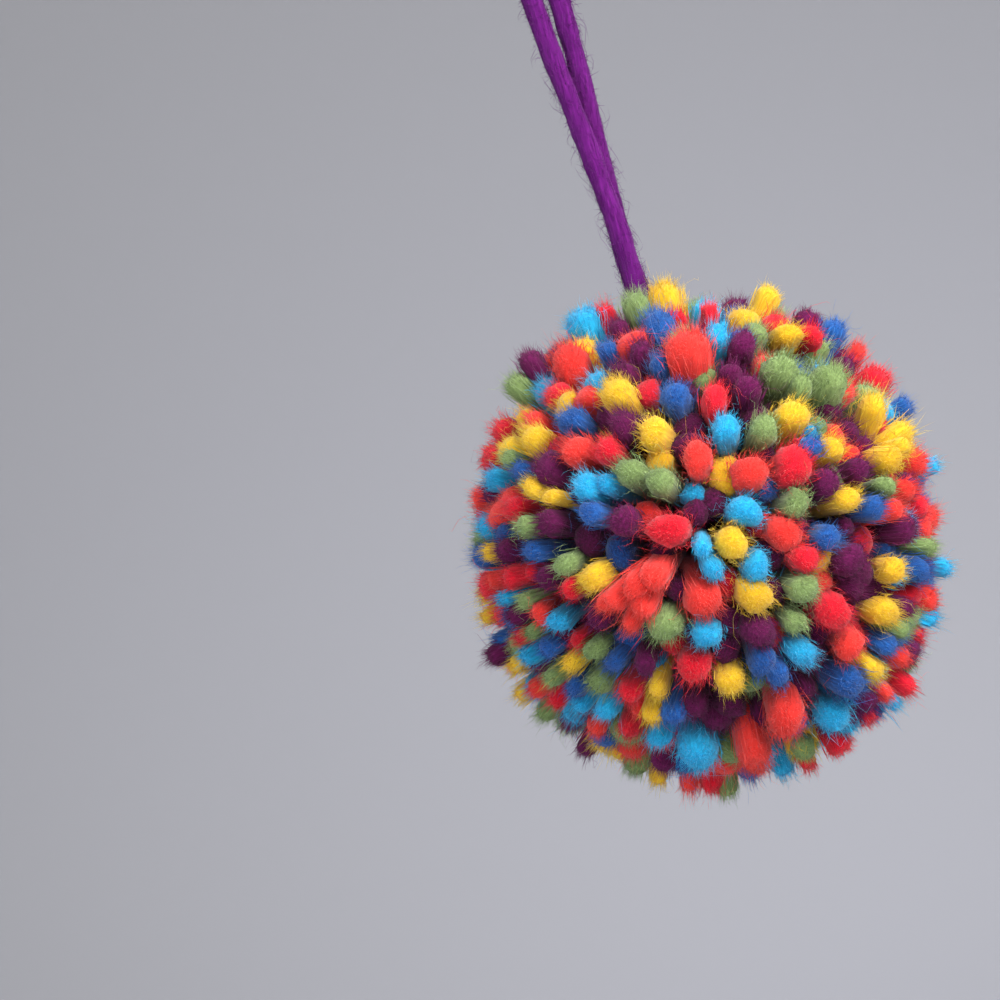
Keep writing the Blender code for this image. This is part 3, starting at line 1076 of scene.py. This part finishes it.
    def build(self) -> None:
        """Makes one piece of all the tufts of each yarn."""
        meshes = {yarn: WoolMesh() for yarn in BALL_YARNS}
        known: list[tuple[np.ndarray, Yarn]] = []
        for yarn, ends in SHOWN_ENDS.items():
            for end in ends:
                tuft = self.shown_tuft(end)
                self.maker.add(meshes[yarn], tuft)
                known.append((unit_rows(tuft.tip - np.array(BALL.middle)), yarn))
        near = 1.6 * math.sqrt(4.0 * math.pi / self.ends)
        for end in self.other_directions(np.array([place for place, _ in known])):
            in_gap = -end[1] > math.cos(math.radians(80.0))
            facing = np.interp(-end[1], self.rim_facing, (self.rim_share, 1.0))
            drop = self.gap_drop * facing if in_gap else 0.0
            # Painted shade: most filler ends in the gaps that face the camera are of the dark aubergine yarn, which
            # stands in for the shade between the ends.
            dark = -end[1] > math.cos(math.radians(58.0))
            yarn = Yarn.AUBERGINE if dark and self.draw.random() < 0.6 else self.yarn_beside(end, near, known)
            behind = end[1] > math.sin(math.radians(10.0))
            wide = self.back_width if behind else self.usual_width
            thin = 0.70 - 0.25 * facing if in_gap else 0.58 if behind else 0.72
            self.maker.add(meshes[yarn], self.other_tuft(end, drop, wide), thin)
            known.append((end, yarn))
        for yarn, mesh in meshes.items():
            mesh.piece(yarn.name.lower() + "_ends", yarn, ["pom_pom"])


@dataclass(frozen=True)
class Core:
    """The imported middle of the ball, where the yarn ends are bound."""

    share: float = 0.58
    rings: int = 28
    sides: int = 48
    roughness: float = 0.6 * MM

    def build(self) -> bpy.types.Object:
        """Makes the core's piece.

        Returns:
            The new object.
        """
        mesh = WoolMesh()
        tilt = np.linspace(0.03, math.pi - 0.03, self.rings)
        turn = np.arange(self.sides) * (-2.0 * math.pi / self.sides)
        rings = np.zeros((self.rings, self.sides, 3))
        for i, down in enumerate(tilt):
            for j, around in enumerate(turn):
                flat = math.sin(down)
                direction = Vector((flat * math.cos(around), flat * math.sin(around), math.cos(down)))
                radius = BALL.round_radius(direction) * self.share
                radius += self.roughness * noise.noise(direction * 14.0)
                rings[i, j] = BALL.middle + direction * radius
        marks = np.zeros((self.rings, self.sides, 5))
        marks[..., 2:] = rings * 900.0
        # Painted shade: along is set low, so the core is painted in its yarn's dark root colour.
        marks[..., 0] = 0.1
        mesh.sleeve(rings, marks)
        return mesh.piece("packed_core", Yarn.AUBERGINE, ["pom_pom"])


class StrandPoint(NamedTuple):
    """A height on the tie and where its two strands are there, in millimetres."""

    z: float
    left_x: float
    left_y: float
    right_x: float
    right_y: float


STRAND_ROUTE = (
    StrandPoint(-0.4, -2.50, 0.00, 2.50, 0.00),
    StrandPoint(-5.0, -2.38, -0.13, 2.44, 0.13),
    StrandPoint(-10.0, -2.17, -0.40, 2.35, 0.40),
    StrandPoint(-16.0, -1.91, -0.92, 2.19, 0.92),
    StrandPoint(-22.0, -1.51, -1.41, 1.87, 1.41),
    StrandPoint(-28.0, -1.08, -1.76, 1.54, 1.76),
    StrandPoint(-34.0, -0.66, -2.01, 1.18, 2.01),
    StrandPoint(-40.0, -0.29, -2.15, 0.85, 2.15),
    StrandPoint(-46.0, 0.03, -2.21, 0.49, 2.21),
    StrandPoint(-52.0, 0.22, -2.22, 0.22, 2.22),
    StrandPoint(-58.0, 0.24, -2.21, 0.14, 2.21),
    StrandPoint(-64.0, 0.20, -2.20, 0.08, 2.20),
    StrandPoint(-70.0, 0.11, -2.20, 0.04, 2.20),
    StrandPoint(-75.0, 0.04, -2.20, 0.01, 2.20),
    StrandPoint(-80.7, 0.00, -2.20, 0.00, 2.20),
)


def smooth_route(points: np.ndarray, steps: int) -> np.ndarray:
    """Reads points off a Catmull-Rom curve through a route's own points.

    Args:
        points: The route, n by 3.
        steps: How many points to read.

    Returns:
        The points read, steps by 3.
    """
    padded = np.concatenate([[2 * points[0] - points[1]], points, [2 * points[-1] - points[-2]]])
    share = np.linspace(0.0, len(points) - 1, steps)
    span = np.minimum(share.astype(int), len(points) - 2)
    t = (share - span)[:, None]
    before, start, end, after = (padded[span + shift] for shift in range(4))
    bend = 2 * before - 5 * start + 4 * end - after
    swing = 3 * start - before - 3 * end + after
    return 0.5 * (2 * start + (end - before) * t + bend * t**2 + swing * t**3)


@dataclass
class SpunYarn:
    """A length of spun wool: a soft round body, fibres laid along it and fine stray hairs.

    Attributes:
        route: The points that it follows, in metres.
        radius: Its radius.
        step: The length of one of the body's rings.
        twist: How far its fibres turn about it in each metre.
        fibres_per_mm: How many fibres lie along each millimetre of it.
        nap_per_mm: How many short hairs make each millimetre's edge soft.
        hairs_per_mm: How many finer hairs stray further from it.
        hair_reach: How far the longest hairs stray.
        bloom: How much thicker it gets towards its cut end, if that shows.
    """

    route: np.ndarray
    draw: np.random.Generator
    radius: float = 2.0 * MM
    sides: int = 20
    step: float = 0.8 * MM
    twist: float = 50.0
    fibres_per_mm: float = 5.0
    nap_per_mm: float = 24.0
    hairs_per_mm: float = 8.0
    hair_reach: float = 2.2 * MM
    bloom: float = 0.0

    def __post_init__(self) -> None:
        """Works out the frames along the route."""
        rough = float(np.linalg.norm(np.diff(self.route, axis=0), axis=1).sum())
        self.levels = max(int(rough / self.step), 8)
        self.line = smooth_route(self.route, self.levels)
        self.length = float(np.linalg.norm(np.diff(self.line, axis=0), axis=1).sum())
        course = unit_rows(np.gradient(self.line, axis=0))
        aside = np.zeros_like(course)
        aside[0] = unit_rows(np.cross(course[0], SLANT))
        for i in range(1, self.levels):
            aside[i] = unit_rows(aside[i - 1] - course[i] * np.dot(aside[i - 1], course[i]))
        self.aside, self.across = aside, np.cross(course, aside)
        self.waves = self.draw.uniform(0.0, 2.0 * math.pi, 4)

    def place(self, share: np.ndarray, angle: np.ndarray, out: np.ndarray) -> np.ndarray:
        """Points on or off the yarn.

        Args:
            share: How far along it they are, from 0 to 1.
            angle: Their angle about its line.
            out: Their distance from its line over its radius.

        Returns:
            The points.
        """
        spot = np.clip(share, 0.0, 1.0) * (self.levels - 1)
        low = np.minimum(spot.astype(int), self.levels - 2)
        part = (spot - low)[..., None]
        line, aside, across = (
            rows[low] * (1 - part) + rows[low + 1] * part for rows in (self.line, self.aside, self.across)
        )
        first, second, third, fourth = self.waves
        metres = share * self.length
        uneven = 1.0 + 0.025 * np.cos(420.0 * metres + first) + 0.02 * np.cos(910.0 * metres + second)
        uneven = uneven + 0.035 * np.cos(2.0 * angle + 260.0 * metres + third)
        uneven = uneven + 0.020 * np.cos(3.0 * angle - 510.0 * metres + fourth)
        swell = 1.0 + self.bloom * smooth_step(0.80, 1.0, share)
        wide = (self.radius * uneven * swell * out)[..., None]
        return line + (aside * np.cos(angle)[..., None] + across * np.sin(angle)[..., None]) * wide

    def marks(self, share: np.ndarray, angle: np.ndarray, fleck: np.ndarray) -> np.ndarray:
        """What the material reads, as along, fleck and lay, which winds with the twist."""
        wound = angle - self.twist * share * self.length
        grain = self.radius * FIBRE_GRAIN
        lay = np.stack([
            np.cos(wound) * grain,
            np.sin(wound) * grain,
            share * self.length * FIBRE_RUN,
        ], axis=-1)
        along = np.ones(share.shape)
        return np.concatenate([along[..., None], fleck[..., None], lay], axis=-1)

    def add(self, mesh: WoolMesh) -> None:
        """Adds the yarn's body, its laid fibres and its stray hairs to a mesh."""
        share = np.repeat(np.linspace(0.0, 1.0, self.levels)[:, None], self.sides, axis=1)
        turns = np.arange(self.sides) * (2.0 * math.pi / self.sides)
        angle = turns[None] + self.twist * share * self.length
        out = 0.95 + self.draw.normal(0.0, 0.012, share.shape)
        out = out * np.where((share < 1e-6) | (share > 1.0 - 1e-6), 0.72, 1.0)
        mesh.sleeve(self.place(share, angle, out), self.marks(share, angle, np.zeros_like(share)))
        self.add_fibres(mesh)
        self.add_nap(mesh)
        self.add_hairs(mesh)

    def add_fibres(self, mesh: WoolMesh) -> None:
        """Adds fibres that lie along the yarn and turn with its twist."""
        amount = int(self.fibres_per_mm * self.length / MM)
        middle = self.draw.uniform(0.02, 0.98, amount)[:, None]
        span = self.draw.uniform(3.0, 8.0, amount)[:, None] * MM / self.length
        share = np.clip(middle + span * np.array([-0.5, -0.17, 0.2, 0.5]), 0.002, 0.998)
        angle = self.draw.uniform(0.0, 2.0 * math.pi, amount)[:, None] + self.draw.normal(0.0, 0.09, (amount, 4))
        angle = angle + self.twist * share * self.length
        out = 0.965 + self.draw.normal(0.0, 0.016, (amount, 4)) + np.array([-0.05, 0.0, 0.0, -0.03])
        radii = self.draw.uniform(0.035, 0.070, (amount, 1)) * MM * np.array([1.0, 0.9])
        fleck = np.repeat(self.draw.normal(0.0, 0.35, amount)[:, None], 4, axis=1)
        mesh.fibres(self.place(share, angle, out), self.marks(share, angle, fleck), radii)

    def add_nap(self, mesh: WoolMesh) -> None:
        """Adds the short hairs that make the yarn's edge soft."""
        amount = int(self.nap_per_mm * self.length / MM)
        start = self.draw.uniform(0.01, 0.99, (amount, 1))
        share = start + self.draw.normal(0.0, 0.45 * MM / self.length, (amount, 1)) * np.array([0.0, 1.0])
        angle = self.draw.uniform(0.0, 2.0 * math.pi, (amount, 1))
        angle = angle + self.draw.normal(0.0, 0.14, (amount, 1)) * np.array([0.0, 1.0])
        out = 0.92 + self.draw.gamma(3.0, 0.105, (amount, 1)) * np.array([0.0, 1.0])
        radii = self.draw.uniform(0.034, 0.062, (amount, 1)) * MM
        # Painted light: besides its own random tone, each hair is painted a little darker at its root and paler at
        # its point.
        fleck = self.draw.normal(0.0, 0.45, (amount, 1)) + np.array([-0.1, 0.1])
        mesh.hairs(self.place(share, angle, out), self.marks(share, angle, fleck), radii)

    def add_hairs(self, mesh: WoolMesh) -> None:
        """Adds fine hairs that stray from the yarn."""
        amount = int(self.hairs_per_mm * self.length / MM)
        start = self.draw.uniform(0.0, 1.0, amount)[:, None]
        drift = self.draw.normal(0.0, 1.4 * MM / self.length, amount)[:, None]
        share = np.clip(start + drift * np.array([0.0, 0.5, 1.1, 2.0]), 0.002, 0.998)
        angle = self.draw.uniform(0.0, 2.0 * math.pi, amount)[:, None]
        angle = angle + self.draw.normal(0.0, 0.35, (amount, 1)) * np.array([0.0, 0.5, 1.0, 1.6])
        reach = np.minimum(self.draw.gamma(1.3, 0.75 * MM, amount), self.hair_reach) / self.radius
        out = 0.94 + reach[:, None] * np.array([0.0, 0.45, 0.85, 1.0])
        radii = self.draw.uniform(0.026, 0.044, (amount, 1)) * MM * np.array([1.0, 0.8])
        fleck = np.full((amount, 4), 0.10)
        mesh.fibres(self.place(share, angle, out), self.marks(share, angle, fleck), radii)


class KnotPoint(NamedTuple):
    """A place on the knot's middle line, in millimetres, and how far its two strands are apart."""

    x: float
    y: float
    z: float
    apart: float


@dataclass(frozen=True)
class Tie:
    """The two strands that the ball hangs from, and the overhand knot that joins them.

    Attributes:
        diameter: A strand's diameter; not used.
        knot_radius: A strand's radius where the knot squeezes it.
        knot_route: How the pair runs up into the knot, round it, through its loop and out.
        foot_x: How far from the middle each of the knot's two yarns starts, inside a strand.
        foot_z: How high that is, below the strand's top.
    """

    diameter: float = 4.0 * MM
    knot_radius: float = 1.75 * MM
    knot_route: tuple[KnotPoint, ...] = (
        KnotPoint(0.0, 0.2, 0.2, 2.3),
        KnotPoint(-0.3, 0.8, 2.8, 1.7),
        KnotPoint(-2.6, 1.6, 6.2, 1.5),
        KnotPoint(-4.0, -0.6, 8.0, 1.5),
        KnotPoint(-1.4, -3.0, 6.6, 1.5),
        KnotPoint(2.8, -2.6, 4.0, 1.5),
        KnotPoint(4.0, 0.4, 3.0, 1.5),
        KnotPoint(1.6, 3.0, 3.4, 1.5),
        KnotPoint(-2.2, 2.8, 3.8, 1.5),
        KnotPoint(-2.6, 0.0, 5.0, 1.5),
        KnotPoint(0.2, -0.2, 7.4, 1.6),
        KnotPoint(0.6, 0.2, 10.2, 2.2),
        KnotPoint(0.4, 0.0, 12.4, 3.6),
        KnotPoint(0.2, -0.2, 14.4, 5.0),
    )
    foot_x: float = 2.47
    foot_z: float = -2.2

    def build_strand(self, side: str, seed: int) -> bpy.types.Object:
        """Args:
            side: left or right.
            seed: What sets its fibres apart from the other strand's.

        Returns:
            The new object.
        """
        rows = [(getattr(point, side + "_x"), getattr(point, side + "_y"), point.z) for point in STRAND_ROUTE]
        yarn = SpunYarn(np.array(rows) * MM, np.random.default_rng(seed))
        mesh = WoolMesh()
        yarn.add(mesh)
        piece = mesh.piece(f"{side}_strand", Yarn.PURPLE, [f"strand_{side}"])
        return piece

    def build_knot(self) -> bpy.types.Object:
        """Makes the knot of both strands, with their fluffed tails.

        Returns:
            The new object.
        """
        line = np.array([(point.x, point.y, point.z) for point in self.knot_route])
        apart = np.array([point.apart for point in self.knot_route])[:, None]
        course = unit_rows(np.gradient(line, axis=0))
        aside = unit_rows(np.cross(course, (0.25, 1.0, 0.15)))
        mesh = WoolMesh()
        for side, seed in ((-1.0, 31), (1.0, 32)):
            foot = (-side * self.foot_x, 0.0, self.foot_z)
            yarn = SpunYarn(
                np.concatenate([[foot], line + aside * apart * side]) * MM,
                np.random.default_rng(seed),
                radius=self.knot_radius,
                nap_per_mm=14.0,
                hair_reach=1.4 * MM,
                bloom=0.35,
            )
            yarn.add(mesh)
        return mesh.piece("hanging_knot", Yarn.PURPLE, ["hanger_knot"])

    def build(self) -> None:
        """Makes the knot, and the strands that end in it."""
        knot = self.build_knot()
        self.build_strand("left", 21)
        self.build_strand("right", 22)


@dataclass(frozen=True)
class SoftLamp:
    """A soft studio lamp.

    Attributes:
        name: The lamp's name.
        place: Where it is.
        side: How wide its square panel is.
        watts: Its power.
        tint: Its colour.
        aim: What it faces, if not the ball.
    """

    name: str
    place: tuple[float, float, float]
    side: float
    watts: float
    tint: Colour = (1.0, 1.0, 1.0)
    aim: tuple[float, float, float] = tuple(BALL.middle)

    def build(self) -> None:
        """Makes the lamp."""
        data = bpy.data.lights.new(self.name, "AREA")
        data.shape = "SQUARE"
        data.size = self.side
        data.energy = self.watts
        data.color = self.tint
        lamp = bpy.data.objects.new(self.name, data)
        bpy.context.scene.collection.objects.link(lamp)
        lamp.location = self.place
        lamp.rotation_euler = (Vector(self.aim) - lamp.location).to_track_quat("-Z", "Y").to_euler()


@dataclass(frozen=True)
class Studio:
    """A pale seamless sweep, soft lamps and a plain sky."""

    floor_z: float = -0.42
    wall_y: float = 1.20
    bend: float = 0.40
    reach: float = 2.5
    paper: Colour = display_colour(136, 135, 136)
    sky: Colour = (0.82, 0.845, 0.88)
    sky_strength: float = 1.05
    lamps: tuple[SoftLamp, ...] = (
        SoftLamp("key_lamp", (0.42, -0.50, 0.26), 0.42, 10.0, (1.0, 0.975, 0.94)),
        SoftLamp("fill_lamp", (-0.26, -0.50, -0.45), 0.50, 4.4, (0.88, 0.93, 1.0)),
        SoftLamp("rim_lamp", (0.20, 0.22, 0.75), 0.40, 2.5),
        SoftLamp("paper_lamp", (0.10, 0.35, -0.39), 0.30, 13.0, (0.82, 0.85, 1.0), (0.10, 1.05, -0.45)),
    )

    def build_sweep(self) -> None:
        """Makes the floor, which bends up into the wall behind."""
        profile = [(-self.reach, self.floor_z)]
        for step in range(17):
            turn = step / 16 * math.pi / 2
            y = self.wall_y - self.bend + self.bend * math.sin(turn)
            z = self.floor_z + self.bend - self.bend * math.cos(turn)
            profile.append((y, z))
        profile.append((self.wall_y, self.reach))
        points = [(side * self.reach, y, z) for y, z in profile for side in (-1.0, 1.0)]
        faces = [(2 * i, 2 * i + 1, 2 * i + 3, 2 * i + 2) for i in range(len(profile) - 1)]
        mesh = bpy.data.meshes.new("paper_sweep")
        mesh.from_pydata(points, [], faces)
        mesh.shade_smooth()
        graph = ShaderGraph("pale_paper")
        graph.surface(Base_Color=self.paper, Roughness=0.9, Specular_IOR_Level=0.2)
        mesh.materials.append(graph.material)
        sweep = bpy.data.objects.new("paper_sweep", mesh)
        bpy.context.scene.collection.objects.link(sweep)

    def build(self) -> None:
        """Makes the sweep, the lamps and the sky."""
        self.build_sweep()
        for lamp in self.lamps:
            lamp.build()
        world = bpy.data.worlds.new("studio_sky")
        world.use_nodes = True
        sky = world.node_tree.nodes["Background"]
        sky.inputs["Color"].default_value = (*self.sky, 1.0)
        sky.inputs["Strength"].default_value = self.sky_strength
        bpy.context.scene.world = world
        bpy.context.scene.view_settings.view_transform = "Standard"


def report_size() -> None:
    """Brings the view layer up to date."""
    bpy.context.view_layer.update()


def main() -> None:
    """Builds the camera, the tie, the ball and the studio in order."""
    logging.basicConfig(level=logging.INFO, format="%(name)s: %(message)s")
    VIEW.build()
    Tie().build()
    Core().build()
    PomPom().build()
    Studio().build()
    report_size()


if __name__ == "__main__":
    main()
